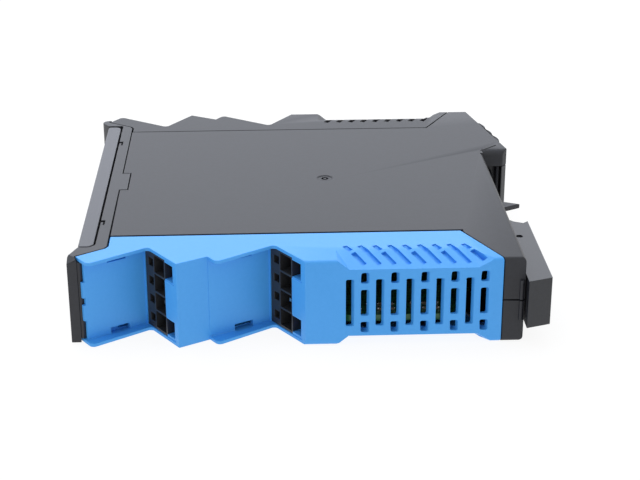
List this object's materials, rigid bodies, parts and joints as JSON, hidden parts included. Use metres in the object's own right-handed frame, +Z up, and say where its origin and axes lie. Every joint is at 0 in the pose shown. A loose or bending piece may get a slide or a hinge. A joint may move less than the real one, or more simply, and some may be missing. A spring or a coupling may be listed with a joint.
{
  "type": "signal isolator",
  "caption": "Slim rail-mounted signal isolator housing with sawtooth plug terminals, slotted end vents, a hinged front flap and a sprung rail slide.",
  "frame": {"origin": "middle of the part's box at the underside, on the side that it lies on", "axes": "+X from the front flap to the rail, +Y from the blue input side to the grey output side, +Z up across the module's width"},
  "size_m": [0.1184, 0.1164, 0.0225],
  "materials": {
    "grey_housing": "fine spark-eroded grain",
    "blue_housing": "fine spark-eroded grain",
    "grey_frame": "fine spark-eroded grain",
    "grey_flap": "satin",
    "foot_plastic": "satin",
    "header_plastic": "satin",
    "tinned_contact": "bright tin plating",
    "board_laminate": "solder mask over glass laminate",
    "ferrite": "ground ferrite",
    "winding_tape": "polyester tape",
    "chip_moulding": "moulded epoxy",
    "capacitor_sleeve": "shrunk sleeve",
    "lamp_resin": "cast resin",
    "clear_guide": "clear moulded"
  },
  "bodies": {
    "housing": {"upper_shell": "grey_housing", "lower_shell": "grey_housing", "blue_terminal_housing": "blue_housing", "grey_terminal_housing": "grey_housing", "front_frame": "grey_frame", "rail_hook": "foot_plastic", "input_header_front": "header_plastic", "input_header_rear": "header_plastic", "output_header_front": "header_plastic", "output_header_rear": "header_plastic", "input_pins_front": "tinned_contact", "input_pins_rear": "tinned_contact", "output_pins_front": "tinned_contact", "output_pins_rear": "tinned_contact", "main_board": "board_laminate", "transformer_core": "ferrite", "transformer_winding": "winding_tape", "optocouplers": "chip_moulding", "tall_capacitors": "capacitor_sleeve", "filter_choke": "ferrite", "controller_chip": "chip_moulding", "service_socket": "header_plastic", "status_lamps": "lamp_resin", "light_guides": "clear_guide"},
    "flap": {"front_flap": "grey_flap"},
    "slide": {"rail_slide": "foot_plastic"}
  },
  "joints": [
    {"name": "flap_hinge", "type": "hinge", "parent": "housing", "child": "flap", "pos_m": [-0.05532, 0.0462, 0.01125], "axis": [0, 0, -1], "range_deg": [0, 95]},
    {"name": "slide_travel", "type": "slide", "parent": "housing", "child": "slide", "axis": [0, -1, 0], "range_m": [0, 0.004], "stiffness_N_per_m": 2000}
  ]
}
